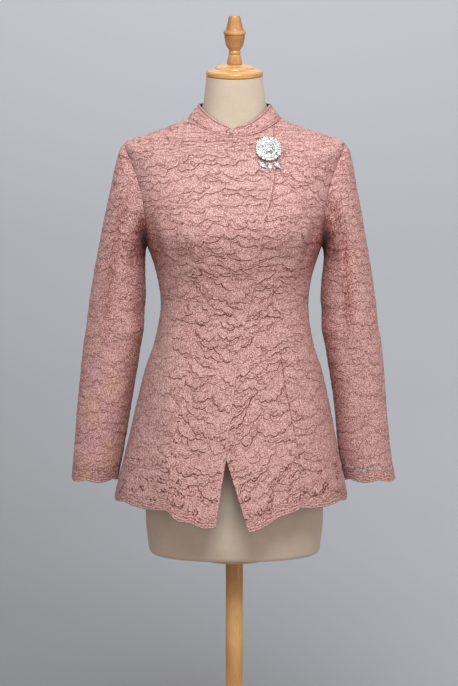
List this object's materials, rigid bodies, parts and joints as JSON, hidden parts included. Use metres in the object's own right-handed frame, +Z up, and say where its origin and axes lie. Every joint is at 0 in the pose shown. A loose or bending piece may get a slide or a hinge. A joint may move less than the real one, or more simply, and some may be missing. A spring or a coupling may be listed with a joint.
{
  "type": "kebaya blouse on a dress form",
  "caption": "Long-sleeved lace kebaya blouse with a stand collar, an overlapping pointed front and a brooch, on a linen dress form with a turned wood stand.",
  "frame": {"origin": "centre of the stand's flat underside, on the floor", "axes": "+Z up the pole, -Y out of the blouse's front, +X towards the wearer's left"},
  "size_m": [0.589, 0.36, 1.5651],
  "materials": {
    "lace": "corded lace, dusty rose, soft sheen",
    "linen": "plain weave linen, natural",
    "turned_wood": "light beech, clear satin varnish",
    "brooch": "white metal set with clear stones, polished"
  },
  "bodies": {
    "root": {"back": "lace", "front_left_side": "lace", "front_left_centre": "lace", "front_right_side": "lace", "front_right_centre": "lace", "sleeve_left": "lace", "sleeve_right": "lace", "collar": "lace", "brooch_flower": "brooch", "brooch_leaf_left": "brooch", "brooch_leaf_middle": "brooch", "brooch_leaf_right": "brooch", "form_torso": "linen", "neck_cap": "turned_wood", "finial": "turned_wood", "pole": "turned_wood", "pole_collar": "turned_wood", "top_plate": "turned_wood", "base": "turned_wood"}
  },
  "joints": []
}
